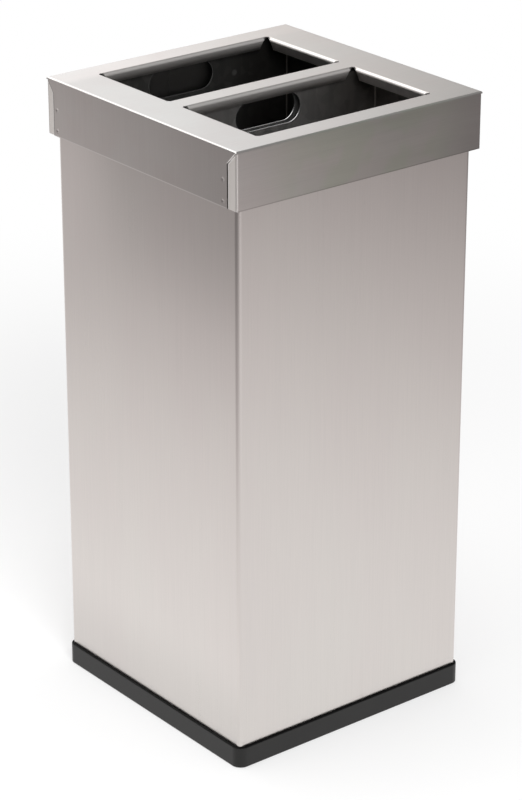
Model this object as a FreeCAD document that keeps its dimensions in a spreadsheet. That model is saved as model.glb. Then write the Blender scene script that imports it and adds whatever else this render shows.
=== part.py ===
import FreeCAD, Part
import os
import re
import Sketcher

# Double recycling bin: a tall square casing of brushed sheet steel on a black moulded plinth,
# two removable sheet-metal liners side by side from front to back, and a lift-off folded lid
# with one long opening over each liner.
#
# Frame: the origin is on the floor under the middle of the bin, +Z is up, +X is to the right of
# someone who faces the bin, and -Y is its front. Every length is in millimetres.

DIMENSIONS = [
    # lid: one sheet, folded down into four skirts
    ("lid_side", 350, "outer width and depth of the lid"),
    ("overall_height", 750, "floor to the top of the lid"),
    ("skirt_depth", 67, "height of the lid's skirts"),
    ("lid_plate", 1.0, "thickness of the lid's sheet"),
    ("lid_bend", 2.2, "outer radius of the bends along the lid's edges"),
    ("opening_length", 241, "clear length of each opening, left to right"),
    ("opening_width", 128, "clear width of each opening, front to back"),
    ("opening_pitch", 158, "distance between the middles of the two openings"),
    ("flange_depth", 13, "top of the lid to the raw edge of an opening's flanges"),
    ("flange_bend", 4, "outer radius of the flange bends"),
    ("flange_setback", 0.2, "corner of an opening to the end of its flanges, at the lid's top"),
    ("flange_taper_bend", 5.5, "how much further in a flange ends below its bend"),
    ("flange_taper", 11, "how much further in a flange ends at its raw edge"),
    ("corner_tab_front", 16.3, "front corner tab that shows beside a side skirt"),
    ("corner_tab_rear", 13, "rear corner tab that shows beside a side skirt"),
    ("corner_bend", 2, "outer radius of the bends at the skirts' upright corners"),
    ("corner_drop", 16.5, "height of the slanted cut on a side skirt's upper corners"),
    ("corner_lap", 9, "length of corner tab that runs on behind a side skirt"),
    ("weld_inset", 7, "edge of a side skirt to its spot welds"),
    ("weld_upper", 35.5, "top of the lid to the upper spot weld"),
    ("weld_lower", 60, "top of the lid to the lower spot weld"),
    ("weld_sphere", 6.8, "radius of the tip that dimples a spot weld"),
    ("weld_depth", 0.4, "depth of a spot weld's dimple"),
    # angles and pads under the lid
    ("guide_leg", 30, "length of each leg of a corner guide"),
    ("guide_height", 40, "height of a corner guide"),
    ("guide_plate", 1.0, "thickness of a corner guide"),
    ("guide_clearance", 0.6, "gap between a corner guide and the casing"),
    ("guide_foot", 4, "width of the foot by which a guide is welded to the lid"),
    ("guide_flare", 2.5, "how far the lower lip of a guide flares out"),
    ("guide_flare_height", 6, "height of the flared lip"),
    ("guide_start", 8, "corner of a guide to its foot and lip"),
    ("pad_length", 24, "length of a rubber pad under the lid"),
    ("pad_width", 7, "width of a rubber pad under the lid"),
    ("pad_height", 3, "thickness of a rubber pad under the lid"),
    # casing: one sheet, wrapped round and lapped at the back
    ("casing_side", 334, "outer width and depth of the casing"),
    ("casing_plate", 0.8, "thickness of the casing's sheet"),
    ("casing_radius", 5.5, "outer radius of the casing's corners"),
    ("casing_foot", 13, "floor to the lower edge of the casing"),
    ("hem_depth", 12, "depth of the folded hem at the casing's top edge"),
    ("seam_lap", 16, "width of the lap seam at the back"),
    ("seam_groove", 1.2, "width of the groove where the seam's outer edge ends"),
    # floor pan inside the casing
    ("floor_side", 330, "outer width and depth of the floor pan"),
    ("floor_plate", 1.0, "thickness of the floor pan"),
    ("floor_edge", 12, "height of the floor pan's upturned edge"),
    ("floor_radius", 4, "outer radius of the floor pan's corners"),
    # plinth
    ("plinth_side", 342, "outer width and depth of the plinth"),
    ("plinth_top", 26, "floor to the top of the plinth"),
    ("plinth_bottom", 1, "floor to the lower edge of the plinth"),
    ("plinth_radius", 12, "outer radius of the plinth's corners"),
    ("plinth_wall", 3.6, "thickness of the plinth's wall beside the casing"),
    ("plinth_skin", 2.5, "thickness of the plinth's skirt below the shelf"),
    ("plinth_shelf", 3, "thickness of the shelf that carries the casing"),
    ("plinth_window", 276, "width and depth of the hole in the middle of the shelf"),
    ("plinth_lip", 1.2, "radius on the plinth's upper edge"),
    ("rib_width", 1.8, "thickness of a stiffening rib under the shelf"),
    ("rib_pitch", 54, "distance between stiffening ribs"),
    ("rib_count", 5, "stiffening ribs on each side of the plinth"),
    ("boss_radius", 6, "radius of a screw boss under the shelf"),
    ("boss_height", 5, "height of a screw boss under the shelf"),
    ("foot_side", 22, "width and depth of a rubber foot"),
    ("foot_corner", 4, "corner radius of a rubber foot"),
    ("foot_height", 3.5, "thickness of a rubber foot"),
    ("foot_place", 151, "middle of the bin to a rubber foot, both ways"),
    ("foot_seat", 28, "width and depth of the seat over a rubber foot"),
    # screws that hold the plinth, the casing's floor pan and the shelf together
    ("screw_shank", 2, "radius of a screw's shank"),
    ("screw_hole", 2.1, "radius of a screw hole"),
    ("screw_head", 4, "middle of a screw's hexagon head to its corners"),
    ("screw_head_height", 2.4, "height of a screw's head"),
    ("screw_tip", 3.5, "length of screw that stands above the floor pan"),
    ("screw_along", 81, "middle of a side to its screws"),
    ("screw_side", 150, "middle of the bin to the screws at the left and right"),
    # liners
    ("liner_length", 320, "outer length of a liner, left to right"),
    ("liner_depth", 154, "outer depth of a liner, front to back"),
    ("liner_top", 744, "floor to the top edge of a liner"),
    ("liner_plate", 0.8, "thickness of a liner's sheet"),
    ("liner_radius", 3, "outer radius of a liner's corners"),
    ("liner_hem", 6, "depth of the folded hem at a liner's top edge"),
    ("liner_place_front", -86.1, "middle of the bin to the middle of the front liner"),
    ("liner_place_rear", 77, "middle of the bin to the middle of the rear liner"),
    ("liner_seam", 79, "middle of a liner to its lap seam"),
    ("liner_lap", 14, "width of a liner's lap seam"),
    ("hand_hole_length", 93, "length of a hand hole"),
    ("hand_hole_height", 35, "height of a hand hole"),
    ("hand_hole_drop", 25.5, "top edge of a liner to the middle of its hand holes"),
    ("pan_raise", 8, "lower edge of a liner to the underside of its bottom"),
    ("pan_clearance", 0.1, "gap between a liner's wall and the flange of its bottom"),
]

document = FreeCAD.newDocument("double_recycling_bin")
dims = document.addObject("Spreadsheet::Sheet", "dims")
for row, (alias, number, meaning) in enumerate(DIMENSIONS, start=1):
    dims.set(f"A{row}", str(number))
    dims.set(f"B{row}", meaning)
    dims.setAlias(f"A{row}", alias)
document.recompute()

ALIASES = {alias for alias, number, meaning in DIMENSIONS}
SIDES = (-1, 1)
sub_parts = []


# ---------------------------------------------------------------- small tools

def linked(text):
    """Turns bare names of dimensions into references to the sheet."""
    return re.sub(r"[a-z_]+", lambda word: f"dims.{word[0]}" if word[0] in ALIASES else word[0], str(text))


def size(text):
    """The number that an expression on the sheet has now."""
    return float(dims.evalExpression(linked(text)))


def bind(thing, path, text):
    thing.setExpression(path, linked(text))


def new_body(name):
    body = document.addObject("PartDesign::Body", name)
    body.Label = name
    sub_parts.append(body)
    return body


def new_sketch(body, name, plane, offset="0"):
    """A sketch on one of the body's own origin planes, moved along its normal."""
    sketch = body.newObject("Sketcher::SketchObject", name)
    origin_plane = [item for item in body.Origin.OriginFeatures if item.Role == plane][0]
    sketch.AttachmentSupport = [(origin_plane, "")]
    sketch.MapMode = "FlatFace"
    bind(sketch, "AttachmentOffset.Base.z", offset)
    return sketch


def pin(sketch, geometry, point, across, up):
    """Holds one point of a sketch at two expressions."""
    for kind, text in (("DistanceX", across), ("DistanceY", up)):
        index = sketch.addConstraint(Sketcher.Constraint(kind, -1, 1, geometry, point, size(text)))
        bind(sketch, f"Constraints[{index}]", text)


def outline(sketch, corners):
    """A closed outline. A corner is (across, up), or (across, up, radius) where it is rounded;
    the sides that meet at a rounded corner are level or upright."""
    stations = []
    for index, corner in enumerate(corners):
        across, up = str(corner[0]), str(corner[1])
        if len(corner) == 2:
            stations.append([(across, up)])
            continue
        tangents = []
        for other in (corners[index - 1], corners[(index + 1) % len(corners)]):
            run = size(other[0]) - size(across)
            rise = size(other[1]) - size(up)
            level = abs(run) > abs(rise)
            step = 1 if (run if level else rise) > 0 else -1
            moved = f"({across if level else up}) + {step} * ({corner[2]})"
            tangents.append((moved, up) if level else (across, moved))
        stations.append(tangents + [corner[2]])

    points = []
    for station in stations:
        points.append(station[0])
        if len(station) == 3:
            points.append(station[1])
    places = [FreeCAD.Vector(size(across), size(up), 0) for across, up in points]

    arcs = []
    position = 0
    for index, station in enumerate(stations):
        if len(station) == 3:
            start, end = places[position], places[position + 1]
            corner = FreeCAD.Vector(size(corners[index][0]), size(corners[index][1]), 0)
            centre = start + end - corner
            radius = size(station[2])
            middle = centre + (corner - centre).normalize() * radius
            arcs.append((position, Part.Arc(start, middle, end), station[2], centre, start))
            position += 1
        position += 1

    arc_starts = {arc[0] for arc in arcs}
    count = len(points)
    geometry = {}
    for index in range(count):
        if index not in arc_starts:
            line = Part.LineSegment(places[index], places[(index + 1) % count])
            geometry[index] = sketch.addGeometry(line, False)
    for index, (across, up) in enumerate(points):
        if index in geometry:
            pin(sketch, geometry[index], 1, across, up)
        else:
            pin(sketch, geometry[(index - 1) % count], 2, across, up)
    for index in range(count):
        following = (index + 1) % count
        if index in geometry and following in geometry:
            sketch.addConstraint(Sketcher.Constraint("Coincident", geometry[index], 2,
                                                     geometry[following], 1))
    for index, arc, radius_text, centre, start in arcs:
        curve = sketch.addGeometry(arc, False)
        before = geometry[(index - 1) % count]
        after = geometry[(index + 1) % count]
        end_at_start = sketch.getPoint(curve, 1).distanceToPoint(start) < 1e-6
        head, tail = (1, 2) if end_at_start else (2, 1)
        sketch.addConstraint(Sketcher.Constraint("Coincident", before, 2, curve, head))
        sketch.addConstraint(Sketcher.Constraint("Coincident", after, 1, curve, tail))
        index = sketch.addConstraint(Sketcher.Constraint("Radius", curve, size(radius_text)))
        bind(sketch, f"Constraints[{index}]", radius_text)


def rectangle(sketch, left, right, low, high, radius=None):
    corners = [(left, low), (right, low), (right, high), (left, high)]
    if radius is not None:
        corners = [corner + (radius,) for corner in corners]
    outline(sketch, corners)


def square(sketch, side, radius):
    """A square about the sketch's middle, with rounded corners."""
    half = f"({side}) / 2"
    rectangle(sketch, f"-{half}", half, f"-{half}", half, radius)


def circle(sketch, across, up, radius):
    place = FreeCAD.Vector(size(across), size(up), 0)
    curve = sketch.addGeometry(Part.Circle(place, FreeCAD.Vector(0, 0, 1), size(radius)), False)
    pin(sketch, curve, 3, across, up)
    index = sketch.addConstraint(Sketcher.Constraint("Radius", curve, size(radius)))
    bind(sketch, f"Constraints[{index}]", radius)


def swept(body, kind, sketch, length, symmetric, backwards, grows):
    """Pads or pockets a sketch, and makes sure that it added or cut something."""
    before = body.Shape.Volume if body.Tip else 0.0
    feature = body.newObject(kind, sketch.Label + ("_pad" if grows else "_cut"))
    feature.Profile = sketch
    feature.SideType = "Symmetric" if symmetric else "One side"
    feature.Reversed = backwards
    bind(feature, "Length", length)
    document.recompute()
    change = body.Shape.Volume - before
    if (change if grows else -change) < 0.01:
        raise RuntimeError(f"{body.Label}: {feature.Label} changed the volume by {change}")
    return feature


def pad(body, sketch, length, symmetric=False, backwards=False):
    return swept(body, "PartDesign::Pad", sketch, length, symmetric, backwards, True)


def pocket(body, sketch, length, symmetric=False, backwards=False):
    return swept(body, "PartDesign::Pocket", sketch, length, symmetric, backwards, False)


def dress_edges(body, kind, name, length, wanted):
    """Rounds or chamfers the edges of the body's last feature whose middle is wanted."""
    base = body.Tip
    edges = []
    for index, edge in enumerate(base.Shape.Edges, start=1):
        middle = edge.valueAt((edge.FirstParameter + edge.LastParameter) / 2)
        if wanted(middle):
            edges.append(f"Edge{index}")
    if not edges:
        raise RuntimeError(f"{body.Label}: {name} finds no edge")
    feature = body.newObject(kind, name)
    feature.Base = (base, edges)
    bind(feature, "Radius" if kind == "PartDesign::Fillet" else "Size", length)
    document.recompute()


def round_edges(body, name, radius, wanted):
    dress_edges(body, "PartDesign::Fillet", name, radius, wanted)


def chamfer_edges(body, name, width, wanted):
    dress_edges(body, "PartDesign::Chamfer", name, width, wanted)


def near(number, text):
    return abs(number - size(text)) < 0.01


# ---------------------------------------------------------------- lid

def lid_cover():
    body = new_body("lid_cover")
    half = "(lid_side / 2)"
    underside = "(overall_height - lid_plate)"
    skirt_edge = "(overall_height - skirt_depth)"

    block = new_sketch(body, "outer_block", "XY_Plane", skirt_edge)
    rectangle(block, f"-{half}", half, f"-{half}", half)
    pad(body, block, "skirt_depth")
    round_edges(body, "outer_bends", "lid_bend",
                lambda middle: near(middle.z, "overall_height"))

    hollow = new_sketch(body, "inside", "XY_Plane", skirt_edge)
    inner = f"({half} - lid_plate)"
    rectangle(hollow, f"-{inner}", inner, f"-{inner}", inner)
    pocket(body, hollow, "skirt_depth - lid_plate", backwards=True)
    round_edges(body, "inner_bends", "lid_bend - lid_plate",
                lambda middle: near(middle.z, underside))

    skirt_corners(body, half, skirt_edge)
    openings(body)
    flanges(body, underside)
    weld_dimples(body, half)
    return body


def skirt_corners(body, half, skirt_edge):
    """Each side skirt ends short of the corner, under a slanted cut, and shows the tab of the
    front or rear skirt that is folded round the corner behind it."""
    bend_line = "(overall_height - 1.2 * lid_bend)"
    corner = f"({half} - lid_plate)"
    for side in SIDES:
        cut = new_sketch(body, f"skirt_ends_{'left' if side < 0 else 'right'}", "YZ_Plane",
                         f"{side} * {corner}")
        for end, shown in ((-1, "corner_tab_front"), (1, "corner_tab_rear")):
            outline(cut, [
                (f"{end} * ({half} + 1)", f"{skirt_edge} - 1"),
                (f"{end} * ({half} + 1)", bend_line),
                (f"{end} * {half}", bend_line),
                (f"{end} * ({half} - {shown})", "overall_height - corner_drop"),
                (f"{end} * ({half} - {shown})", f"{skirt_edge} - 1"),
            ])
        pocket(body, cut, "lid_plate + 1", backwards=side > 0)

    tabs = new_sketch(body, "corner_tabs", "XY_Plane", skirt_edge)
    for side in SIDES:
        for end, shown in ((-1, "corner_tab_front"), (1, "corner_tab_rear")):
            outline(tabs, [
                (f"{side} * {corner}", f"{end} * {corner}"),
                (f"{side} * ({corner} - lid_plate)", f"{end} * {corner}"),
                (f"{side} * ({corner} - lid_plate)", f"{end} * ({half} - {shown} - corner_lap)"),
                (f"{side} * {corner}", f"{end} * ({half} - {shown} - corner_lap)"),
            ])
    pad(body, tabs, "skirt_depth - lid_bend")

    rounding = new_sketch(body, "corner_bends", "XY_Plane", f"{skirt_edge} - 1")
    flat = "(corner_bend + 1)"
    for side in SIDES:
        for end in SIDES:
            outline(rounding, [
                (f"{side} * ({half} + 1)", f"{end} * ({half} + 1)"),
                (f"{side} * ({corner} - {flat})", f"{end} * ({half} + 1)"),
                (f"{side} * ({corner} - {flat})", f"{end} * {half}"),
                (f"{side} * {corner}", f"{end} * {half}", "corner_bend"),
                (f"{side} * {corner}", f"{end} * ({half} - {flat})"),
                (f"{side} * ({half} + 1)", f"{end} * ({half} - {flat})"),
            ])
    pocket(body, rounding, f"{bend_line} - {skirt_edge} + 1", backwards=True)


def openings(body):
    """Two long holes as far as the flanges' bends, each corner cut off where the bends stop."""
    holes = new_sketch(body, "openings", "XY_Plane", "overall_height")
    quarter = [
        ("(opening_length / 2 - flange_setback)", "(opening_width / 2 + flange_bend)"),
        ("(opening_length / 2 + flange_bend)", "(opening_width / 2 - flange_setback)"),
    ]
    for opening in SIDES:
        corners = []
        for side, end in ((1, 1), (1, -1), (-1, -1), (-1, 1)):
            points = quarter if side == end else quarter[::-1]
            corners += [(f"{side} * {x}", f"{opening} * opening_pitch / 2 + {end} * {y}")
                        for x, y in points]
        outline(holes, corners)
    pocket(body, holes, "flange_depth")


def flanges(body, underside):
    """Round each opening the sheet is bent down into four flanges with tapered ends."""
    raw_edge = "(overall_height - flange_depth)"
    inner_bend = "flange_bend - lid_plate"

    def bent(face, outward):
        """The section of a flange that faces the opening at face and bends away to outward."""
        return [
            (f"{face} + {outward} * (flange_bend + 1)", "overall_height"),
            (face, "overall_height", "flange_bend"),
            (face, raw_edge),
            (f"{face} + {outward} * lid_plate", raw_edge),
            (f"{face} + {outward} * lid_plate", underside, inner_bend),
            (f"{face} + {outward} * (flange_bend + 1)", underside),
        ]

    long_ones = new_sketch(body, "long_flanges", "YZ_Plane")
    for opening in SIDES:
        for end in SIDES:
            face = f"({opening} * opening_pitch / 2 + {end} * opening_width / 2)"
            outline(long_ones, bent(face, end))
    pad(body, long_ones, "opening_length - 2 * flange_setback", symmetric=True)

    for opening in SIDES:
        short_ones = new_sketch(body, f"short_flanges_{'front' if opening < 0 else 'rear'}", "XZ_Plane",
                                f"-{opening} * opening_pitch / 2")
        for side in SIDES:
            outline(short_ones, bent(f"({side} * opening_length / 2)", side))
        pad(body, short_ones, "opening_width - 2 * flange_setback", symmetric=True)

    def taper(end, direction):
        """What is cut off a flange's end: a steep slant round the bend, then a flatter one."""
        past_end = f"{end} + {direction} * flange_setback / 2"
        return [
            (past_end, "overall_height"),
            (end, "overall_height"),
            (f"{end} - {direction} * flange_taper_bend", "overall_height - flange_bend"),
            (f"{end} - {direction} * flange_taper", raw_edge),
            (f"{end} - {direction} * flange_taper", f"{raw_edge} - 1"),
            (past_end, f"{raw_edge} - 1"),
        ]

    for opening in SIDES:
        long_ends = new_sketch(body, f"long_flange_ends_{'front' if opening < 0 else 'rear'}", "XZ_Plane",
                               f"-{opening} * opening_pitch / 2")
        for side in SIDES:
            outline(long_ends, taper(f"({side} * (opening_length / 2 - flange_setback))", side))
        pocket(body, long_ends, "opening_width + 2 * flange_bend", symmetric=True)

    short_ends = new_sketch(body, "short_flange_ends", "YZ_Plane")
    for opening in SIDES:
        for end in SIDES:
            place = f"({opening} * opening_pitch / 2 + {end} * (opening_width / 2 - flange_setback))"
            outline(short_ends, taper(place, end))
    pocket(body, short_ends, "opening_length + 2 * flange_bend", symmetric=True)


def weld_dimples(body, half):
    """Two shallow spot welds at each end of the side skirts hold the corner tabs."""
    for side in SIDES:
        for end, shown in ((-1, "corner_tab_front"), (1, "corner_tab_rear")):
            for drop in ("weld_upper", "weld_lower"):
                dimple = body.newObject("PartDesign::SubtractiveSphere", "weld_dimple")
                bind(dimple, "Radius", "weld_sphere")
                bind(dimple, "AttachmentOffset.Base.x", f"{side} * ({half} + weld_sphere - weld_depth)")
                bind(dimple, "AttachmentOffset.Base.y", f"{end} * ({half} - {shown} - weld_inset)")
                bind(dimple, "AttachmentOffset.Base.z", f"overall_height - {drop}")
                plane = [item for item in body.Origin.OriginFeatures if item.Role == "XY_Plane"][0]
                dimple.AttachmentSupport = [(plane, "")]
                dimple.MapMode = "FlatFace"
                document.recompute()


def lid_guide(name, quarter_turns):
    """An angle inside each corner of the lid, which comes down round the casing's corner. It is
    drawn at the front left and turned about the bin's upright axis."""
    body = new_body(name)
    inner = "(casing_side / 2 + guide_clearance)"
    outer = f"({inner} + guide_plate)"
    top = "(overall_height - lid_plate)"
    low = f"({top} - guide_height)"

    angle = new_sketch(body, "angle", "XY_Plane", low)
    outline(angle, [
        (f"-{outer}", f"-{outer}", "casing_radius"),
        (f"-{outer} + guide_leg", f"-{outer}"),
        (f"-{outer} + guide_leg", f"-{inner}"),
        (f"-{inner}", f"-{inner}", "casing_radius - guide_plate"),
        (f"-{inner}", f"-{outer} + guide_leg"),
        (f"-{outer}", f"-{outer} + guide_leg"),
    ])
    pad(body, angle, "guide_height")

    def lips(sketch, sign):
        """The foot at the top of a leg and the flared lip at its lower edge."""
        face = f"{sign} * {inner}"
        outline(sketch, [
            (face, top),
            (f"{face} + {sign} * (guide_plate + guide_foot)", top),
            (f"{face} + {sign} * (guide_plate + guide_foot)", f"{top} - guide_plate"),
            (face, f"{top} - guide_plate"),
        ])
        outline(sketch, [
            (face, low),
            (f"{face} + {sign} * guide_plate", low),
            (f"{face} + {sign} * (guide_plate + guide_flare)", f"{low} - guide_flare_height"),
            (f"{face} + {sign} * guide_flare", f"{low} - guide_flare_height"),
        ])

    for label, plane, offset, backwards in (
            ("front_leg_lips", "YZ_Plane", f"-{outer} + guide_start", False),
            ("side_leg_lips", "XZ_Plane", f"{outer} - guide_start", True)):
        sketch = new_sketch(body, label, plane, offset)
        lips(sketch, -1)
        pad(body, sketch, "guide_leg - guide_start", backwards=backwards)
    body.Placement = FreeCAD.Placement(FreeCAD.Vector(), FreeCAD.Rotation(FreeCAD.Vector(0, 0, 1),
                                                                        90 * quarter_turns))


def lid_pad(name, quarter_turns):
    """A rubber pad stuck under the lid, by which it rests on the casing's hem."""
    body = new_body(name)
    strip = new_sketch(body, "strip", "XY_Plane", "overall_height - lid_plate - pad_height")
    middle = "(casing_side / 2 - casing_plate)"
    rectangle(strip, "-pad_length / 2", "pad_length / 2",
              f"-{middle} - pad_width / 2", f"-{middle} + pad_width / 2")
    pad(body, strip, "pad_height")
    body.Placement = FreeCAD.Placement(FreeCAD.Vector(), FreeCAD.Rotation(FreeCAD.Vector(0, 0, 1),
                                                                        90 * quarter_turns))


# ---------------------------------------------------------------- casing

def casing_shell():
    """One sheet wrapped round into a square tube. Its two ends lap in the middle of the back:
    the one from the left steps in and runs on behind the one from the right."""
    body = new_body("casing_shell")
    half = "(casing_side / 2)"
    inner = f"({half} - casing_plate)"
    lapped = f"({half} - 2 * casing_plate)"
    groove = "(-seam_lap / 2)"
    top = "(overall_height - lid_plate - pad_height)"

    wrap = new_sketch(body, "wrap", "XY_Plane", "casing_foot")
    outline(wrap, [
        (f"-{half}", f"-{half}", "casing_radius"),
        (half, f"-{half}", "casing_radius"),
        (half, half, "casing_radius"),
        (groove, half),
        (groove, f"{inner} + 0.1"),
        (f"{groove} - seam_groove / 2", f"{inner} + 0.1"),
        (f"{groove} - seam_groove", half),
        (f"-{half}", half, "casing_radius"),
    ])
    inner_radius = "(casing_radius - casing_plate)"
    outline(wrap, [
        (f"-{inner}", f"-{inner}", inner_radius),
        (inner, f"-{inner}", inner_radius),
        (inner, inner, inner_radius),
        ("seam_lap / 2", inner),
        ("seam_lap / 2", lapped),
        (groove, lapped),
        (f"{groove} - seam_groove", inner),
        (f"-{inner}", inner, inner_radius),
    ])
    pad(body, wrap, f"{top} - casing_foot")

    hem = new_sketch(body, "hem", "XY_Plane", f"{top} - hem_depth")
    square(hem, "casing_side", "casing_radius")
    square(hem, "casing_side - 4 * casing_plate", "casing_radius - 2 * casing_plate")
    pad(body, hem, "hem_depth")
    chamfer_edges(body, "hem_fold", "0.5 * casing_plate", lambda middle: near(middle.z, top))


def floor_pan():
    """The casing's floor: a tray with upturned edges, on which the liners stand."""
    body = new_body("floor_pan")
    tray = new_sketch(body, "tray", "XY_Plane", "casing_foot")
    square(tray, "floor_side", "floor_radius")
    pad(body, tray, "floor_edge")
    hollow = new_sketch(body, "hollow", "XY_Plane", "casing_foot + floor_plate")
    square(hollow, "floor_side - 2 * floor_plate", "floor_radius - floor_plate")
    pocket(body, hollow, "floor_edge", backwards=True)
    holes = new_sketch(body, "screw_holes", "XY_Plane", "casing_foot + floor_plate")
    for across, along in screw_places():
        circle(holes, across, along, "screw_hole")
    pocket(body, holes, "2 * floor_plate")


# ---------------------------------------------------------------- plinth

def screw_places():
    """Two screws at the left and two at the right."""
    return [(f"{side} * screw_side", f"{end} * screw_along") for side in SIDES for end in SIDES]


def base_plinth():
    """A moulded frame: an outer wall that stands round the casing's foot, a shelf that carries the
    casing, and ribs, screw bosses and foot seats under the shelf."""
    body = new_body("base_plinth")
    shelf_low = "(casing_foot - plinth_shelf)"

    block = new_sketch(body, "block", "XY_Plane", "plinth_bottom")
    square(block, "plinth_side", "plinth_radius")
    pad(body, block, "plinth_top - plinth_bottom")
    round_edges(body, "upper_lip", "plinth_lip", lambda middle: near(middle.z, "plinth_top"))

    seat = new_sketch(body, "casing_seat", "XY_Plane", "plinth_top")
    square(seat, "plinth_side - 2 * plinth_wall", "casing_radius")
    pocket(body, seat, "plinth_top - casing_foot")

    under = new_sketch(body, "underside", "XY_Plane", "plinth_bottom")
    square(under, "plinth_side - 2 * plinth_skin", "plinth_radius - plinth_skin")
    pocket(body, under, f"{shelf_low} - plinth_bottom", backwards=True)

    window = new_sketch(body, "window", "XY_Plane", "casing_foot")
    square(window, "plinth_window", "2 * plinth_radius")
    pocket(body, window, "2 * plinth_shelf")

    curb = new_sketch(body, "window_curb", "XY_Plane", "plinth_bottom + 2")
    square(curb, "plinth_window + 2 * plinth_skin", "2 * plinth_radius + plinth_skin")
    square(curb, "plinth_window", "2 * plinth_radius")
    pad(body, curb, f"{shelf_low} - plinth_bottom - 1.5")

    bosses = new_sketch(body, "bosses", "XY_Plane", f"{shelf_low} - boss_height")
    for across, along in screw_places():
        circle(bosses, across, along, "boss_radius")
    pad(body, bosses, "boss_height + 0.5")

    seats = new_sketch(body, "foot_seats", "XY_Plane", "foot_height")
    for side in SIDES:
        for end in SIDES:
            rectangle(seats, f"{side} * foot_place - foot_seat / 2", f"{side} * foot_place + foot_seat / 2",
                      f"{end} * foot_place - foot_seat / 2", f"{end} * foot_place + foot_seat / 2",
                      "foot_corner")
    pad(body, seats, f"{shelf_low} - foot_height + 0.5")

    rib = new_sketch(body, "rib", "XY_Plane", "plinth_bottom + 2.5")
    rectangle(rib, "plinth_window / 2 + 1", "plinth_side / 2 - 1",
              "-rib_pitch * (rib_count - 1) / 2 - rib_width / 2",
              "-rib_pitch * (rib_count - 1) / 2 + rib_width / 2")
    ribs = pad(body, rib, f"{shelf_low} - plinth_bottom - 2")
    rib_pattern(body, ribs)

    holes = new_sketch(body, "screw_holes", "XY_Plane", "casing_foot")
    for across, along in screw_places():
        circle(holes, across, along, "screw_hole")
    pocket(body, holes, "plinth_shelf + boss_height + 1")


def rib_pattern(body, first_rib):
    """Repeats the first rib along one side, and that side's ribs round the plinth."""
    roles = {item.Role: item for item in body.Origin.OriginFeatures}
    pattern = body.newObject("PartDesign::MultiTransform", "rib_pattern")
    pattern.Originals = [first_rib]
    along_side = body.newObject("PartDesign::LinearPattern", "along_side")
    along_side.Direction = (roles["Y_Axis"], [""])
    bind(along_side, "Length", "rib_pitch * (rib_count - 1)")
    bind(along_side, "Occurrences", "rib_count")
    round_plinth = body.newObject("PartDesign::PolarPattern", "round_plinth")
    round_plinth.Axis = (roles["Z_Axis"], [""])
    round_plinth.Angle = 360
    round_plinth.Occurrences = 4
    pattern.Transformations = [along_side, round_plinth]
    body.Tip = pattern
    document.recompute()
    if body.Shape.Volume <= first_rib.Shape.Volume:
        raise RuntimeError("the ribs do not repeat")


def foot_pad(name, side, end):
    """A square rubber foot, on which the bin stands."""
    body = new_body(name)
    block = new_sketch(body, "block", "XY_Plane")
    square(block, "foot_side", "foot_corner")
    pad(body, block, "foot_height")
    bind(body, "Placement.Base.x", f"{side} * foot_place")
    bind(body, "Placement.Base.y", f"{end} * foot_place")


def plinth_screws():
    """The hexagon screws, driven from below through boss, shelf and floor pan."""
    low = size("casing_foot - plinth_shelf - boss_height - screw_head_height")
    head_height = size("screw_head_height")
    seat = low + head_height
    tip = size("casing_foot + floor_plate + screw_tip")
    corner, shank = size("screw_head"), size("screw_shank")
    up = FreeCAD.Vector(0, 0, 1)
    corners = [FreeCAD.Rotation(up, 60 * turn).multVec(FreeCAD.Vector(corner, 0, low))
               for turn in range(7)]
    head = Part.Face(Part.makePolygon(corners)).extrude(up * head_height)
    threaded = Part.makeCylinder(shank, tip - shank - seat, FreeCAD.Vector(0, 0, seat), up)
    point = Part.makeCone(shank, 0, shank, FreeCAD.Vector(0, 0, tip - shank), up)
    screw = head.fuse([threaded, point]).removeSplitter()
    group = document.addObject("Part::Feature", "plinth_screws")
    group.Label = "plinth_screws"
    group.Shape = Part.makeCompound([
        screw.translated(FreeCAD.Vector(size(across), size(along), 0))
        for across, along in screw_places()])
    sub_parts.append(group)


# ---------------------------------------------------------------- liners

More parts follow.
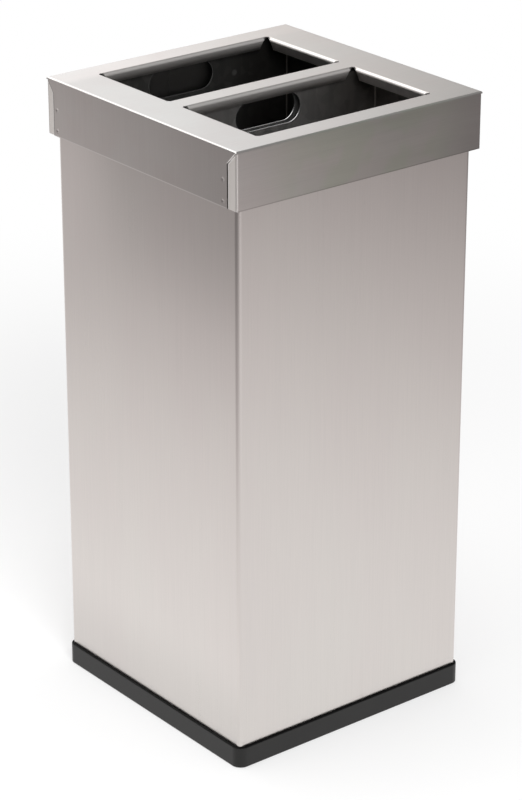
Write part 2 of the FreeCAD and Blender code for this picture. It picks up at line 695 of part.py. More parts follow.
def liner_shell(name, place, half_turns):
    """The walls of a liner: one sheet wrapped round into a tall rectangular tube with a lap seam
    beside one hand hole, a hem at the top, and a hand hole in each long wall."""
    body = new_body(name)
    across = "(liner_length / 2)"
    along = "(liner_depth / 2)"
    inner_across = f"({across} - liner_plate)"
    inner_along = f"({along} - liner_plate)"
    floor = "(casing_foot + floor_plate)"

    wrap = new_sketch(body, "wrap", "XY_Plane", floor)
    seam_near = "(liner_seam - liner_lap / 2)"
    seam_far = "(liner_seam + liner_lap / 2)"
    outline(wrap, [
        (f"-{across}", f"-{along}", "liner_radius"),
        (across, f"-{along}", "liner_radius"),
        (across, along, "liner_radius"),
        (seam_far, along),
        (seam_far, f"{along} + liner_plate"),
        (seam_near, f"{along} + liner_plate"),
        (seam_near, along),
        (f"-{across}", along, "liner_radius"),
    ])
    rectangle(wrap, f"-{inner_across}", inner_across, f"-{inner_along}", inner_along,
              "liner_radius - liner_plate")
    pad(body, wrap, f"liner_top - {floor}")

    hem = new_sketch(body, "hem", "XY_Plane", "liner_top - liner_hem")
    middle_across = f"({across} - liner_plate / 2)"
    middle_along = f"({along} - liner_plate / 2)"
    rectangle(hem, f"-{middle_across}", middle_across, f"-{middle_along}", middle_along,
              "liner_radius - liner_plate / 2")
    inside_across = f"({across} - 2 * liner_plate)"
    inside_along = f"({along} - 2 * liner_plate)"
    rectangle(hem, f"-{inside_across}", inside_across, f"-{inside_along}", inside_along,
              "liner_radius - 2 * liner_plate")
    pad(body, hem, "liner_hem")

    hole = new_sketch(body, "hand_holes", "XZ_Plane")
    level = "(liner_top - hand_hole_drop)"
    rectangle(hole, "-hand_hole_length / 2", "hand_hole_length / 2",
              f"{level} - hand_hole_height / 2", f"{level} + hand_hole_height / 2",
              "hand_hole_height / 2 - 0.01")
    pocket(body, hole, "2 * liner_depth", symmetric=True)

    body.Placement.Rotation = FreeCAD.Rotation(FreeCAD.Vector(0, 0, 1), 180 * half_turns)
    bind(body, "Placement.Base.y", place)


def liner_bottom(name, place):
    """The bottom of a liner: a pan turned upside down inside its walls, with its flange welded to
    them, so that the liner stands on the lower edges of its walls and flange."""
    body = new_body(name)
    floor = "(casing_foot + floor_plate)"
    across = "(liner_length / 2 - liner_plate - pan_clearance)"
    along = "(liner_depth / 2 - liner_plate - pan_clearance)"
    radius = "(liner_radius - liner_plate)"

    block = new_sketch(body, "block", "XY_Plane", floor)
    rectangle(block, f"-{across}", across, f"-{along}", along, radius)
    pad(body, block, "pan_raise + liner_plate")
    under = new_sketch(body, "underside", "XY_Plane", floor)
    rectangle(under, f"-{across} + liner_plate", f"{across} - liner_plate",
              f"-{along} + liner_plate", f"{along} - liner_plate", f"{radius} - liner_plate")
    pocket(body, under, "pan_raise", backwards=True)
    bind(body, "Placement.Base.y", place)


# ---------------------------------------------------------------- assembly and export

CORNERS = (("front_left", -1, -1), ("front_right", 1, -1), ("rear_right", 1, 1), ("rear_left", -1, 1))

lid_cover()
for turns, (corner, side, end) in enumerate(CORNERS):
    lid_guide(f"lid_guide_{corner}", turns)
for turns, edge in enumerate(("front", "right", "rear", "left")):
    lid_pad(f"lid_pad_{edge}", turns)
casing_shell()
floor_pan()
base_plinth()
for corner, side, end in CORNERS:
    foot_pad(f"foot_pad_{corner}", side, end)
plinth_screws()
for which, half_turns in (("front", 1), ("rear", 0)):
    liner_shell(f"{which}_liner_shell", f"liner_place_{which}", half_turns)
    liner_bottom(f"{which}_liner_bottom", f"liner_place_{which}")
document.recompute()

for item in document.Objects:
    if "Invalid" in item.State or "Error" in item.State:
        raise RuntimeError(f"{item.Label} did not compute: {item.State}")
for part in sub_parts:
    if part.Shape.isNull() or not part.Shape.isValid():
        raise RuntimeError(f"{part.Label} has no valid shape")

os.makedirs("parts", exist_ok=True)
for part in sub_parts:
    part.Shape.exportStep(f"parts/{part.Label}.step")
    box = part.Shape.BoundBox
    print(f"{part.Label}: {len(part.Shape.Solids)} solids, {part.Shape.Volume / 1000:.1f} cm3, "
          f"x {box.XMin:.1f} to {box.XMax:.1f}, y {box.YMin:.1f} to {box.YMax:.1f}, "
          f"z {box.ZMin:.1f} to {box.ZMax:.1f}")
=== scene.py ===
import math

import bmesh
import bpy
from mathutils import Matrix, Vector


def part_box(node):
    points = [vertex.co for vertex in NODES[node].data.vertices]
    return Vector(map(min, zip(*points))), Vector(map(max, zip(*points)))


# Double recycling bin: finishes, studio and camera round the CAD frame. Every length is in metres.

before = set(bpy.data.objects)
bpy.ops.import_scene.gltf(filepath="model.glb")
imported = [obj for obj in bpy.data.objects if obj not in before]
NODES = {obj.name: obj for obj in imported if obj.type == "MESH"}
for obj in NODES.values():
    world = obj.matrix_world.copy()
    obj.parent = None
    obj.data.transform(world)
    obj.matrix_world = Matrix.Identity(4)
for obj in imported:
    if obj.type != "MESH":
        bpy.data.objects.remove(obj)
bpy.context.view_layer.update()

MM = 0.001

# Places that a finish follows.
LID_LOW, LID_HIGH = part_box("lid_cover")
SKIRT_FOOT = LID_LOW[2]
LID_TOP = LID_HIGH[2]
PLINTH_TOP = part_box("base_plinth")[1][2]
LID_HALF = 175 * MM
TAB_FACE = LID_HALF - 1 * MM      # the corner tabs lie one sheet's thickness behind the side skirts
OPENING_HALF_LENGTH = 120.5 * MM
OPENING_HALF_WIDTH = 64 * MM
OPENING_MIDDLE = 79 * MM          # from the lid's middle to the middle of each opening
NOTCH_REACH = 3.5 * MM            # from an opening's corner to the end of its notch
FLANGE_DEPTH = 13 * MM
FLANGE_ZONE_LENGTH = OPENING_HALF_LENGTH + 6 * MM     # the flanges are nearer to the middle than this
FLANGE_ZONE_WIDTH = 149 * MM                          # and this
FRONT_SKIRT_END = -158.7 * MM     # where the side skirts end at the front, beside the corner tab
REAR_SKIRT_END = 162 * MM         # and at the rear
SLANT_FOOT = 733.5 * MM           # where the slanted cut on the side skirts' upper corners starts
SLANT_HEIGHT = 16.5 * MM
SLANT_LEAN = 0.7                  # turns a height over the slanted cut into the distance from it
EDGE_FADE = 0.4 * MM              # how softly a line beside an edge fades out
SKIRT_WELD_INSET = 7 * MM         # from the side skirts' ends to the spot welds
SKIRT_WELD_LEVEL = 702.25 * MM    # between the upper and the lower spot weld
SKIRT_WELD_HALF_PITCH = 12.25 * MM
SKIRT_WELD_RADIUS = 3.4 * MM
SKIRT_WELD_DEPTH = 13.0           # of its dimple, where the relief of the grain is 1
HAND_HOLE_LEVEL = 718.5 * MM
HAND_HOLE_STRAIGHT = 29 * MM      # half the length of a hand hole's straight part
HAND_HOLE_RADIUS = 17.5 * MM
LINER_SEAM = 79 * MM
LINER_SEAM_WALL = 151 * MM        # the walls with a seam are further from the middle than this
LINER_GAP = -4.5 * MM             # middle of the gap between the two liners
LINER_MIDDLE = 82 * MM            # from there to the middle of each liner
LINER_WELD_LEVEL = 712 * MM       # of the uppermost spot weld
LINER_WELD_PITCH = 70 * MM
LINER_WELD_RADIUS = 5 * MM
SCUFF_HEIGHT = 14 * MM            # of the scuffs over the plinth
LIP_DEPTH = 1.2 * MM              # of the rubbed lip along the plinth's top


# ---------------------------------------------------------------- shader maths

class Wire:
    """One output in a material's node tree. Python's operators on it add Math nodes."""

    def __init__(self, paint, socket):
        self.paint = paint
        self.socket = socket

    def maths(self, operation, *others):
        return self.paint.node("ShaderNodeMath", {"operation": operation}, (self, *others))

    def __add__(self, other):
        return self.maths("ADD", other)

    def __sub__(self, other):
        return self.maths("SUBTRACT", other)

    def __mul__(self, other):
        return self.maths("MULTIPLY", other)

    def __truediv__(self, other):
        return self.maths("DIVIDE", other)

    __radd__ = __add__
    __rmul__ = __mul__

    def __rsub__(self, other):
        return self.paint.node("ShaderNodeMath", {"operation": "SUBTRACT"}, (other, self))

    def __rtruediv__(self, other):
        return self.paint.node("ShaderNodeMath", {"operation": "DIVIDE"}, (other, self))

    def __abs__(self):
        return self.maths("ABSOLUTE")

    def rises(self, start, end):
        """0 up to start, 1 from end on, and a smooth rise between them."""
        settings = {"interpolation_type": "SMOOTHSTEP"}
        sockets = {"Value": self, "From Min": start, "From Max": end}
        return self.paint.node("ShaderNodeMapRange", settings, sockets)

    def within(self, reach, fade):
        """1 as far as reach from 0 to either side, fading to 0 over the fade."""
        return 1 - abs(self).rises(reach, reach + fade)

    def either(self, other):
        return self.maths("MAXIMUM", other)


class Paint:
    """The node tree of one material or world, from one method that adds any node."""

    def __init__(self, name, holder=None):
        self.material = holder or bpy.data.materials.new(name)
        self.material.use_nodes = True
        self.tree = self.material.node_tree
        self.tree.nodes.clear()

    def node(self, kind, settings=None, sockets=(), output=0):
        """Adds a node with its settings and the values or wires of its sockets."""
        made = self.tree.nodes.new(kind)
        for name, value in (settings or {}).items():
            setattr(made, name, value)
        pairs = sockets.items() if isinstance(sockets, dict) else enumerate(sockets)
        for name, value in pairs:
            if isinstance(value, Wire):
                self.tree.links.new(value.socket, made.inputs[name])
            else:
                made.inputs[name].default_value = value
        return Wire(self, made.outputs[output]) if made.outputs else made

    def place(self):
        """Where the point is on the bin, in metres."""
        return self.node("ShaderNodeTexCoord", output="Object")

    def facing(self):
        """The surface's own direction."""
        return self.node("ShaderNodeTexCoord", output="Normal")

    def parts(self, vector):
        return [self.node("ShaderNodeSeparateXYZ", None, (vector,), output=axis) for axis in "XYZ"]

    def together(self, x, y, z):
        return self.node("ShaderNodeCombineXYZ", None, (x, y, z))

    def vector(self, operation, *vectors, output="Vector"):
        return self.node("ShaderNodeVectorMath", {"operation": operation}, vectors, output=output)

    def distance(self, across, up):
        """How far a point is from the spot where both numbers are 0."""
        return (across * across + up * up).maths("SQRT")

    def noise(self, where, per_metre, detail=2.0, roughness=0.5):
        """Noise from 0 to 1, with its own count of blotches per metre along each axis."""
        spread = self.node("ShaderNodeMapping", None, {"Vector": where, "Scale": per_metre})
        sockets = {"Vector": spread, "Scale": 1.0, "Detail": detail, "Roughness": roughness}
        return self.node("ShaderNodeTexNoise", None, sockets)

    def blend(self, factor, first, second):
        """A colour between two colours."""
        sockets = {0: factor, 6: first, 7: second}
        return self.node("ShaderNodeMix", {"data_type": "RGBA"}, sockets, output=2)

    def tint(self, factor, colour, filter_colour):
        """A colour seen through a coloured filter."""
        settings = {"data_type": "RGBA", "blend_type": "MULTIPLY"}
        sockets = {0: factor, 6: colour, 7: filter_colour}
        return self.node("ShaderNodeMix", settings, sockets, output=2)

    def pick(self, factor, first, second):
        """A number between two numbers."""
        return self.node("ShaderNodeMix", {"data_type": "FLOAT"}, {0: factor, 2: first, 3: second})

    def pick_place(self, factor, first, second):
        """A place between two places."""
        sockets = {0: factor, 4: first, 5: second}
        return self.node("ShaderNodeMix", {"data_type": "VECTOR"}, sockets, output=1)

    def bump(self, height, depth, strength):
        sockets = {"Height": height, "Distance": depth, "Strength": strength}
        return self.node("ShaderNodeBump", None, sockets)

    def ray(self, kind):
        """1 for the rays of one kind, such as those that come from the camera."""
        return self.node("ShaderNodeLightPath", output=f"Is {kind} Ray")

    def surface(self, **sockets):
        """Ends the tree in a Principled shader."""
        named_sockets = {name.replace("_", " "): value for name, value in sockets.items()}
        shader = self.node("ShaderNodeBsdfPrincipled", None, named_sockets)
        self.node("ShaderNodeOutputMaterial", None, {"Surface": shader})
        return self.material


def grey(level, warmth=0.0, coolth=None):
    """A nearly grey colour. Warmth lifts red by that share, and coolth, or else warmth, lowers blue."""
    return (level * (1 + warmth), level, level * (1 - (warmth if coolth is None else coolth)), 1.0)


# ---------------------------------------------------------------- finishes

# Painted light and shade: filters for the base colours that paint in tones which this studio alone
# doesn't give. Tone corrections: filters for the base colours where this studio alone doesn't give
# the tones of the photograph. They aren't finishes, and the real sheets are even there.
CASING_LEFT_PAINTED_LIGHT = grey(1.07)
CASING_LEFT_TOP_PAINTED_SHADE = grey(0.79)
CASING_LEFT_FOOT_PAINTED_SHADE = grey(0.89)
LID_LEFT_PAINTED_REFLECTION = (0.983, 1.003, 1.01, 1.0)
LID_RIGHT_PAINTED_REFLECTION = (1.01, 1.0, 0.985, 1.0)
LID_REAR_PAINTED_HIGHLIGHT = (1.13, 1.11, 1.11, 1.0)
FRONT_LINER_PAINTED_LIGHT = (1.45, 1.44, 1.43, 1.0)
REAR_LINER_PAINTED_SHADE = (0.60, 0.60, 0.59, 1.0)
LINER_RIGHT_PAINTED_SHADE = (0.42, 0.40, 0.39, 1.0)

LID_SMEAR = (0.93, 1.0, 0.92, 1.0)
# Painted shade just over the front and rear skirts' lower edges.
LOW_EDGE_PAINTED_SHADE = (0.62, 0.60, 0.60, 1.0)
BLACK = grey(0.0)
LINE_SHADE = grey(0.10, 0.04)     # of the dark lines along the side skirts' ends
# Bare zinc of the spot welds; on the hand hole rims it is also a painted highlight.
BARE_ZINC_AND_RIM_HIGHLIGHT = grey(0.62)            # of the liners' hand hole rims and spot welds


def brushed(paint, grain_place):
    """The relief of a brushed sheet, from 0 to 1, with its grain along the first axis of
    grain_place: hairs, longer strokes and broad bands."""
    hairs = paint.noise(grain_place, (14, 2600, 2600), detail=3.0, roughness=0.65)
    strokes = paint.noise(grain_place, (9, 520, 520), roughness=0.6)
    bands = paint.noise(grain_place, (1.2, 48, 48))
    return hairs * 0.45 + strokes * 0.37 + bands * 0.18


def casing_steel():
    """Brushed stainless with its grain upright, faintly clouded, and scuffed just above the plinth."""
    paint = Paint("brushed_casing_steel")
    where = paint.place()
    x, y, z = paint.parts(where)
    grain = brushed(paint, paint.together(z, x, y))
    clouds = paint.noise(where, (9, 9, 5))
    colour = paint.blend(grain.rises(0.25, 0.75), grey(0.655, 0.04, 0.035), grey(0.70, 0.045, 0.035))
    colour = paint.tint(clouds.rises(0.35, 0.7), colour, (1.0, 0.99, 0.995, 1.0))
    over_plinth = 1 - z.rises(PLINTH_TOP, PLINTH_TOP + SCUFF_HEIGHT)
    scuffs = over_plinth * paint.noise(where, (90, 90, 260), detail=3.0).rises(0.5, 0.75)
    colour = paint.blend(scuffs * 0.25, colour, grey(0.45, 0.03))

    # Painted light and shade on the left side, which the light leaves too even over its height: lighter
    # overall, with painted shade at its top and foot.
    facing_x, facing_y, _ = paint.parts(paint.facing())
    on_left = (facing_x * -1.0).rises(0.6, 0.8)
    left_top_shade = on_left * z.rises(500 * MM, 700 * MM) * (1 - y.rises(20 * MM, 150 * MM))
    left_foot_shade = on_left * (1 - z.rises(30 * MM, 140 * MM))
    colour = paint.tint(on_left, colour, CASING_LEFT_PAINTED_LIGHT)
    colour = paint.tint(left_top_shade, colour, CASING_LEFT_TOP_PAINTED_SHADE)
    colour = paint.tint(left_foot_shade, colour, CASING_LEFT_FOOT_PAINTED_SHADE)

    # Inside it is duller than outside.
    inside = 1 - (x * facing_x + y * facing_y).rises(-20 * MM, 20 * MM)
    colour = paint.blend(inside, colour, grey(0.33, 0.02))
    return paint.surface(
        Base_Color=colour,
        Metallic=1.0,
        Roughness=0.30 + (grain - 0.5) * 0.16 + (clouds - 0.5) * 0.05 + scuffs * 0.1 + inside * 0.22,
        Anisotropic=0.5,
        Normal=paint.bump(grain, 0.012 * MM, 0.7),
    )


def lid_steel():
    """Brushed stainless with its grain from left to right. Folding turns the grain: it runs down the
    side skirts. Raw sheared edges are lighter, and the spot welds lie in dimples."""
    paint = Paint("brushed_lid_steel")
    where = paint.place()
    x, y, z = paint.parts(where)
    facing_x, facing_y, facing_z = (abs(part) for part in paint.parts(paint.facing()))
    sideways = facing_x.rises(0.6, 0.8)
    grain_place = paint.pick_place(sideways, paint.together(x, y, z), paint.together(z, y, x))
    grain = brushed(paint, grain_place)
    clouds = paint.noise(where, (14, 14, 22), detail=3.0, roughness=0.55)
    colour = paint.blend(grain.rises(0.2, 0.8), grey(0.61, 0.03, 0.03), grey(0.68, 0.035, 0.03))
    colour = paint.tint(clouds.rises(0.35, 0.7), colour, (1.0, 0.98, 0.98, 1.0))

    # Painted reflection tints on the lid's top to the left and right, and a painted highlight along its
    # rear.
    on_top = facing_z.rises(0.8, 0.95) * z.rises(LID_TOP - 2 * MM, LID_TOP - 1 * MM)
    rear_painted_highlight = on_top * y.rises(130 * MM, 150 * MM) * (1 - 0.5 * x.rises(-100 * MM, 120 * MM))
    colour = paint.tint(on_top * (1 - x.rises(-140 * MM, -90 * MM)), colour, LID_LEFT_PAINTED_REFLECTION)
    colour = paint.tint(on_top * x.rises(-20 * MM, 140 * MM), colour, LID_RIGHT_PAINTED_REFLECTION)
    colour = paint.tint(rear_painted_highlight, colour, LID_REAR_PAINTED_HIGHLIGHT)

    # Faint smears round the middle of the front and rear skirts.
    smears = paint.noise(where, (22, 22, 30)).rises(0.36, 0.56)
    smeared = abs(y).rises(LID_HALF - 2 * MM, LID_HALF - 1 * MM)
    smeared = smeared * (x - 10 * MM).within(60 * MM, 110 * MM)
    colour = paint.tint(smeared * (0.25 + 0.75 * smears), colour, LID_SMEAR)

    # The side skirts end under a slant, over the corner tabs.
    at_front = 1 - y.rises(-1 * MM, 1 * MM)
    end = paint.pick(at_front, y - REAR_SKIRT_END, FRONT_SKIRT_END - y)
    tab_length = paint.pick(at_front, LID_HALF - REAR_SKIRT_END, LID_HALF + FRONT_SKIRT_END)
    over_slant = (z - SLANT_FOOT - end * SLANT_HEIGHT / tab_length) * SLANT_LEAN
    from_edge = end.maths("MINIMUM", over_slant * -1.0)
    on_side = abs(x).rises(TAB_FACE - 0.2 * MM, TAB_FACE)
    outermost = abs(x).rises(TAB_FACE + 0.4 * MM, TAB_FACE + 0.6 * MM)
    tab = sideways * on_side * (1 - outermost) * end.rises(-0.3 * MM, 0.0)
    # Painted highlights along the tabs' edges and the side skirts' slanted cuts.
    slant_highlight = end.rises(0.0, EDGE_FADE) * over_slant.within(0.5 * MM, EDGE_FADE)
    edge_highlight = tab * (from_edge - 1.5 * MM).within(0.4 * MM, EDGE_FADE)
    edge_highlight = edge_highlight.either(sideways * outermost * slant_highlight)
    # Painted highlight down each corner's bend.
    corner_highlight = facing_x.rises(0.25, 0.45) * facing_y.rises(0.25, 0.45)

    # Painted shade on the skirts: the side skirts darkest at their front ends and the front skirt
    # darkest on its right. Like the filters, this is painted shade and no finish.
    on_front = facing_y.rises(0.9, 0.98) * (1 - y.rises(1 * MM - LID_HALF, 2 * MM - LID_HALF))
    darker_right = x.rises(0.6 * LID_HALF, LID_HALF)
    painted_skirt_shade = sideways * outermost * (0.15 - y / LID_HALF * 0.12)
    painted_skirt_shade = painted_skirt_shade + on_front * (0.075 + x / LID_HALF * 0.07 + 0.1 * darker_right)
    colour = paint.blend(painted_skirt_shade, colour, BLACK)

    # Painted light: the corner tabs are painted lighter than the skirts round them.
    colour = paint.blend(tab, colour, grey(0.92, 0.02, 0.04))
    colour = paint.blend(edge_highlight, colour, grey(0.93, 0.02, 0.02))
    colour = paint.blend(corner_highlight, colour, grey(0.66, 0.05, 0.03))
    # Painted shade in the bend beside each tab.
    inner_bend_shade = tab * (abs(y) - LID_HALF + 2.4 * MM).within(0.3 * MM, EDGE_FADE)
    colour = paint.blend(inner_bend_shade * 0.5, colour, grey(0.30, 0.03))

    # Dark lines of painted shade: beside the rear ends of the side skirts, and in the crack over each
    # tab.
    beside_edge = (from_edge + 0.6 * MM).within(0.4 * MM, EDGE_FADE)
    shadow = (1 - at_front) * sideways * outermost * beside_edge
    colour = paint.blend(shadow * 0.6, colour, LINE_SHADE)
    crack_shade = tab * from_edge.within(0.7 * MM, EDGE_FADE)
    crack_shade = crack_shade.either(facing_y.rises(0.5, 0.7) * on_side * end.within(0.4 * MM, 0.3 * MM))
    colour = paint.blend(crack_shade * 0.8, colour, LINE_SHADE)

    weld_up = abs(z - SKIRT_WELD_LEVEL) - SKIRT_WELD_HALF_PITCH
    from_weld = paint.distance(end + SKIRT_WELD_INSET, weld_up)
    weld = sideways * on_side * (1 - from_weld.rises(0.4 * MM, SKIRT_WELD_RADIUS))

    # The skirts' raw lower edges are bright, with a painted highlight just over them on the side skirts
    # and painted shade on the front and rear skirts.
    sheared = 1 - z.rises(SKIRT_FOOT + 0.3 * MM, SKIRT_FOOT + 0.8 * MM)
    sheared = facing_z.rises(0.7, 0.9) * sheared
    low_edge_light_and_shade = (1 - z.rises(SKIRT_FOOT + 0.8 * MM, SKIRT_FOOT + 1.6 * MM)) * (1 - sheared)
    colour = paint.blend(sheared * 0.8, colour, grey(0.88, 0.01))
    colour = paint.blend(low_edge_light_and_shade * sideways * 0.5, colour, grey(0.9, 0.02))
    colour = paint.tint(low_edge_light_and_shade * facing_y.rises(0.6, 0.8) * 0.6, colour, LOW_EDGE_PAINTED_SHADE)

    # The notches in the openings' corners are darkened with painted shade, and the long flanges duller
    # towards their bends.
    below_top = LID_TOP - z
    past_side = abs(abs(y) - OPENING_MIDDLE) - OPENING_HALF_WIDTH
    from_corner = paint.distance(abs(x) - OPENING_HALF_LENGTH, past_side)
    notch_shade = 1 - from_corner.rises(NOTCH_REACH, NOTCH_REACH + 1.5 * MM)
    notch_shade = notch_shade * below_top.rises(0.15 * MM, 0.4 * MM)
    colour = paint.blend(notch_shade * 0.85, colour, grey(0.06, 0.03))
    flange = 1 - abs(x).rises(FLANGE_ZONE_LENGTH, FLANGE_ZONE_LENGTH + 1 * MM)
    flange = flange * (1 - abs(y).rises(FLANGE_ZONE_WIDTH, FLANGE_ZONE_WIDTH + 1 * MM))
    flange = flange * facing_y.rises(0.4, 0.8) * 0.26 * (1 - below_top.rises(0.0, FLANGE_DEPTH))

    # The front skirt is shaded as if it leaned out a little, and more so to the right, which brings it
    # nearer to the photograph's darker tone. Its shape is upright.
    lean = on_front * (0.055 + x / LID_HALF * 0.035)
    relief = paint.bump(grain - weld * SKIRT_WELD_DEPTH, 0.02 * MM, 0.8)
    normal = paint.vector("ADD", relief, paint.together(0.0, 0.0, lean))
    return paint.surface(
        Base_Color=colour,
        Metallic=1.0 - sheared * 0.5 - tab * 0.1 - edge_highlight * 0.3 - corner_highlight * 0.35 - flange,
        Roughness=0.33 + (grain - 0.5) * 0.2 + (clouds - 0.5) * 0.08 + flange * 0.2,
        Normal=paint.vector("NORMALIZE", normal),
    )


def galvanised(name, low, high, roughness):
    """Dull galvanised sheet with faint spangle and upright runs. The liners' hand holes have a
    bright rim, partly bare edge and partly a painted highlight, and their lap seams a row of spot
    welds."""
    paint = Paint(name)
    where = paint.place()
    x, y, z = paint.parts(where)
    spangle = paint.node("ShaderNodeTexVoronoi", {"feature": "F1"}, {"Vector": where, "Scale": 85.0},
                         output="Color")
    spangle = paint.node("ShaderNodeSeparateColor", None, (spangle,))
    clouds = paint.noise(where, (9, 9, 4), detail=3.0)
    runs = paint.noise(where, (160, 160, 3))
    shade = spangle * 0.25 + clouds * 0.45 + runs * 0.3
    colour = paint.blend(shade.rises(0.2, 0.8), grey(low, 0.01), grey(high, 0.02))

    # Painted light and shade on the insides: lighter in the front liner, darker in the rear one, and
    # darker towards the right end of both.
    side = (y - LINER_GAP).maths("SIGN")
    facing_x, facing_y, _ = paint.parts(paint.facing())
    outwards = x * facing_x + (y - LINER_GAP - side * LINER_MIDDLE) * facing_y
    inside = 1 - outwards.rises(-10 * MM, 10 * MM)
    at_rear = y.rises(LINER_GAP - 1 * MM, LINER_GAP + 1 * MM)
    colour = paint.tint(inside * (1 - at_rear), colour, FRONT_LINER_PAINTED_LIGHT)
    colour = paint.tint(inside * at_rear, colour, REAR_LINER_PAINTED_SHADE)
    colour = paint.tint(inside * x.rises(30 * MM, 130 * MM), colour, LINER_RIGHT_PAINTED_SHADE)

    # Painted highlight down the liners' folded corners.
    fold_highlight = abs(facing_x).rises(0.3, 0.5) * abs(facing_y).rises(0.3, 0.5)
    colour = paint.blend(fold_highlight * 0.7, colour, grey(0.6, 0.08))
    # The hand holes' rims are painted lighter: the bare cut edge, with a painted highlight.
    past_straight = (abs(x) - HAND_HOLE_STRAIGHT).either(0.0)
    from_rim = paint.distance(past_straight, z - HAND_HOLE_LEVEL) - HAND_HOLE_RADIUS
    rim = from_rim.within(0.25 * MM, 0.6 * MM)
    colour = paint.blend(rim, colour, BARE_ZINC_AND_RIM_HIGHLIGHT)

    half_pitch = LINER_WELD_PITCH / 2
    level = (z - LINER_WELD_LEVEL + half_pitch).maths("FLOORED_MODULO", LINER_WELD_PITCH) - half_pitch
    from_weld = paint.distance(side * x - LINER_SEAM, level)
    on_seam_wall = abs(y).rises(LINER_SEAM_WALL, LINER_SEAM_WALL + 1 * MM)
    weld = (1 - from_weld.rises(2.0 * MM, LINER_WELD_RADIUS)) * on_seam_wall
    colour = paint.blend(weld * 0.5, colour, BARE_ZINC_AND_RIM_HIGHLIGHT)
    return paint.surface(
        Base_Color=colour,
        Metallic=0.93,
        Roughness=roughness + (shade - 0.5) * 0.2 - rim * 0.12,
        Normal=paint.bump(shade - weld * 1.5, 0.1 * MM, 0.5),
    )


def moulded_plastic():
    """Black plastic with a fine satin grain, rubbed a little lighter along its upper lip and foot."""
    paint = Paint("black_moulded_plastic")
    where = paint.place()
    z = paint.parts(where)[2]
    pores = paint.noise(where, (1700, 1700, 1700), roughness=0.6)
    clouds = paint.noise(where, (20, 20, 20))
    edge_highlight = z.rises(PLINTH_TOP - LIP_DEPTH, PLINTH_TOP).either(1 - z.rises(1.2 * MM, 2.6 * MM))
    edge_highlight = edge_highlight * clouds.rises(0.3, 0.6)
    colour = paint.blend(clouds.rises(0.3, 0.7), grey(0.009, 0.02), grey(0.012, 0.02))
    colour = paint.blend(edge_highlight * 0.3, colour, grey(0.05, 0.02))

    # On top of the lip, beside the casing, it is darkest: painted shade in the gap under the casing.
    facing_z = paint.parts(paint.facing())[2]
    lip_gap_shade = facing_z.rises(0.6, 0.85) * z.rises(PLINTH_TOP - LIP_DEPTH, PLINTH_TOP - LIP_DEPTH / 2)
    colour = paint.blend(lip_gap_shade, colour, grey(0.002))
    return paint.surface(
        Base_Color=colour,
        Specular_IOR_Level=0.35,
        Roughness=0.40 + (pores - 0.5) * 0.15 + (clouds - 0.5) * 0.1 + lip_gap_shade * 0.45,
        Normal=paint.bump(pores, 0.05 * MM, 0.6),
    )


def rubber():
    paint = Paint("matt_rubber")
    pores = paint.noise(paint.place(), (900, 900, 900), detail=3.0)
    colour = paint.blend(pores, grey(0.018), grey(0.028))
    return paint.surface(
        Base_Color=colour,
        Roughness=0.75 + (pores - 0.5) * 0.2,
        Normal=paint.bump(pores, 0.05 * MM, 0.8),
    )


def zinc():
    paint = Paint("bright_zinc")
    clouds = paint.noise(paint.place(), (300, 300, 300))
    colour = paint.blend(clouds, grey(0.55, 0.01), grey(0.66, -0.01))
    return paint.surface(
        Base_Color=colour,
        Metallic=1.0,
        Roughness=0.26 + (clouds - 0.5) * 0.2,
        Normal=paint.bump(clouds, 0.05 * MM, 0.4),
    )


def dress(material, *names):
    for name in names:
        node = NODES[name]
        node.data.materials.clear()
        node.data.materials.append(material)


def named(prefix):
    return [name for name in NODES if name.startswith(prefix)]


dress(casing_steel(), "casing_shell")
dress(lid_steel(), "lid_cover", *named("lid_guide"))
dress(galvanised("galvanised_liner_sheet", low=0.34, high=0.50, roughness=0.36),
      "front_liner_shell", "rear_liner_shell", "front_liner_bottom", "rear_liner_bottom")
dress(galvanised("galvanised_floor_sheet", low=0.34, high=0.46, roughness=0.42), "floor_pan")
dress(moulded_plastic(), "base_plinth")
dress(rubber(), *named("foot_pad"), *named("lid_pad"))
dress(zinc(), "plinth_screws")


# ---------------------------------------------------------------- studio

WHITE = grey(1.0)
FLOOR_SIDE = 60.0
FLOOR_PAINT = grey(0.94)
SHADOW_REACH = (0.6, 1.7)                # the shadow on the floor fades into white between these

# The pool of light on the floor, as the steel mirrors it.
POOL_WIDTH = 1.64                        # how far it reaches left and right,
POOL_FRONT = 3.3                         # to the front
POOL_BACK = 5.0                          # and to the back
POOL_FALL = 1.86                         # how steeply it falls off
POOL_LEVEL = 0.99
POOL_GLEAM = (1.25, 1.7)                 # between these it gets lighter towards the back,
POOL_GLEAM_LEVEL = 0.36                  # by this much
POOL_LEFT = (0.9, 1.15)                  # between these it gets dimmer towards the left,
POOL_LEFT_LOSS = 0.4                     # by this share, but not in the gleam
POOL_TONE = grey(1.0, 0.01, 0.01)
POOL_EDGE_TONE = grey(1.0, 0.17, 0.01)
POOL_SHARE = 0.85                        # of the mirrored floor, beside its own paint
FAR_FLOOR = (3.5, 9.0)                   # between these the floor gets lighter again,
FAR_FLOOR_LEVEL = 0.4                    # up to this

# The bright screen behind and over the bin, as the steel mirrors it, and the room round it.
SCREEN_AIM = (-0.142, 0.807, 0.574)      # towards its middle
SCREEN_EDGE = (math.cos(math.radians(54)), math.cos(math.radians(44)))
SCREEN_HEART = (math.cos(math.radians(38)), math.cos(math.radians(22)))
SCREEN_RIGHT = (0.788, -0.616, 0.0)      # square to where it starts to fade on its right
SCREEN_RIGHT_FADE = (0.0, 0.13)
SCREEN_LEFT = (0.42, 0.62)               # how far left it ends
SCREEN_LEVEL = 1.29                      # brightness of the screen,
HEART_LEVEL = 0.75                       # what its heart adds,
ROOM_LEVEL = 0.32                        # and of the room beside it
PLAIN_LEVEL = 0.35                       # the even light from all round on what doesn't mirror

LAMP_AIM = (0, 0, 0.4)

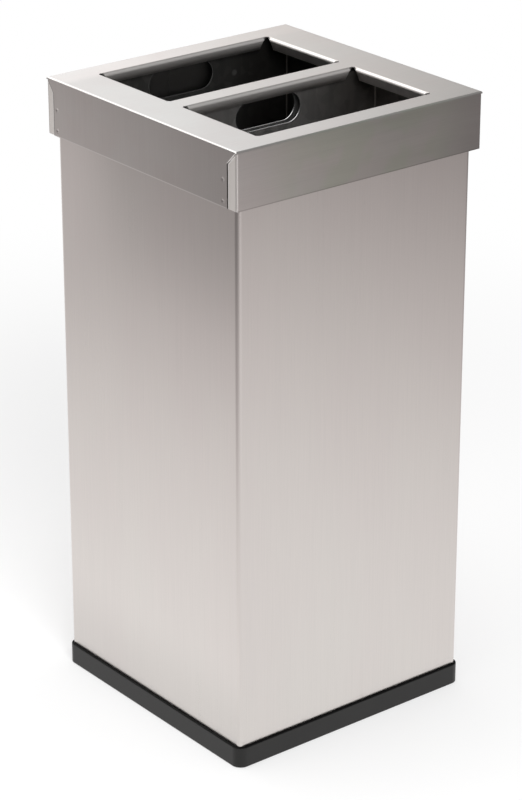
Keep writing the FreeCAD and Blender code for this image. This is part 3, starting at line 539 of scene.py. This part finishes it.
CAMERA_PLACE = (-1.9421, -2.4378, 1.7039)
CAMERA_DOWN = 23.296                     # degrees that it looks down
CAMERA_TURN = 38.507                     # degrees that it looks to the right
FOCAL_LENGTH = 129.375                   # both in mm
SENSOR_WIDTH = 36.0


def into_scene(name, data):
    thing = bpy.data.objects.new(name, data)
    bpy.context.scene.collection.objects.link(thing)
    return thing


def studio_floor():
    """A plain pale floor. The camera sees it white with the bin's shadow, and the steel mirrors a
    pool of light on it."""
    floor = bpy.data.meshes.new("studio_floor")
    shape = bmesh.new()
    bmesh.ops.create_grid(shape, x_segments=1, y_segments=1, size=FLOOR_SIDE / 2)
    shape.to_mesh(floor)
    shape.free()
    into_scene("studio_floor", floor)

    paint = Paint("pale_floor")
    x, y, _ = paint.parts(paint.place())
    seen = paint.ray("Camera").either(paint.ray("Transmission"))
    mirrored = paint.ray("Glossy")
    radius = paint.distance(x, y)
    length = paint.pick(y.rises(-0.5, 0.5), POOL_FRONT, POOL_BACK)
    oval = paint.distance(x / POOL_WIDTH, y / length)
    in_gleam = y.rises(*POOL_GLEAM)
    pool = (oval.maths("POWER", POOL_FALL) * -1.0).maths("EXPONENT")
    pool = pool * (POOL_LEVEL + POOL_GLEAM_LEVEL * in_gleam)
    pool = pool * (1 - POOL_LEFT_LOSS * (x * -1.0).rises(*POOL_LEFT) * (1 - in_gleam))
    colour = paint.blend(pool, POOL_EDGE_TONE, POOL_TONE)
    glow = paint.node("ShaderNodeEmission", None, {
        "Color": paint.blend(seen, colour, WHITE),
        "Strength": seen + (1 - seen) * (pool + FAR_FLOOR_LEVEL * radius.rises(*FAR_FLOOR)),
    })
    lit = paint.node("ShaderNodeBsdfDiffuse", None, {"Color": FLOOR_PAINT})
    share = seen * (0.5 + 0.5 * radius.rises(*SHADOW_REACH)) + mirrored * POOL_SHARE
    both = paint.node("ShaderNodeMixShader", None, {0: share, 1: lit, 2: glow})
    paint.node("ShaderNodeOutputMaterial", None, {"Surface": both})
    floor.materials.append(paint.material)


def studio_world():
    """White for the camera, a screen in a dim room for what mirrors, and even light for the rest."""
    world = bpy.data.worlds.new("studio_world")
    bpy.context.scene.world = world
    paint = Paint("studio_world", world)
    seen = paint.ray("Camera").either(paint.ray("Transmission"))
    mirrored = paint.ray("Glossy")
    direction = paint.node("ShaderNodeTexCoord", output="Generated")
    towards_screen = paint.vector("DOT_PRODUCT", direction, SCREEN_AIM, output="Value")
    past_right = paint.vector("DOT_PRODUCT", direction, SCREEN_RIGHT, output="Value")
    past_left = paint.parts(direction)[0] * -1.0
    screen = (SCREEN_LEVEL - ROOM_LEVEL) * towards_screen.rises(*SCREEN_EDGE)
    screen = screen + HEART_LEVEL * towards_screen.rises(*SCREEN_HEART)
    screen = screen * (1 - past_right.rises(*SCREEN_RIGHT_FADE)) * (1 - past_left.rises(*SCREEN_LEFT))
    room = ROOM_LEVEL + screen
    strength = seen + (1 - seen) * paint.pick(mirrored, PLAIN_LEVEL, room)
    colour = paint.blend(seen, grey(1.0, 0.005, 0.0), WHITE)
    glow = paint.node("ShaderNodeBackground", None, {"Color": colour, "Strength": strength})
    paint.node("ShaderNodeOutputWorld", None, {"Surface": glow})


def softbox(name, place, side, power):
    lamp = bpy.data.lights.new(name, "AREA")
    lamp.shape = "RECTANGLE"
    lamp.size = side
    lamp.size_y = side
    lamp.energy = power
    thing = into_scene(name, lamp)
    thing.location = place
    thing.rotation_euler = (Vector(LAMP_AIM) - Vector(place)).to_track_quat("-Z", "Y").to_euler()
    thing.visible_camera = False
    thing.visible_glossy = False      # the steel mirrors the screen and the floor instead


def camera():
    """The photograph's viewpoint: front left, from above."""
    lens = bpy.data.cameras.new("photo_camera")
    lens.sensor_width = SENSOR_WIDTH
    lens.lens = FOCAL_LENGTH
    thing = into_scene("photo_camera", lens)
    thing.location = CAMERA_PLACE
    thing.rotation_euler = (math.radians(90 - CAMERA_DOWN), 0.0, math.radians(-CAMERA_TURN))
    bpy.context.scene.camera = thing


studio_floor()
studio_world()
softbox("top_softbox", place=(-0.3, 0.3, 3.0), side=2.0, power=45)
softbox("front_softbox", place=(-1.0, -2.2, 2.1), side=1.2, power=62)
camera()
bpy.context.scene.view_settings.view_transform = "Standard"
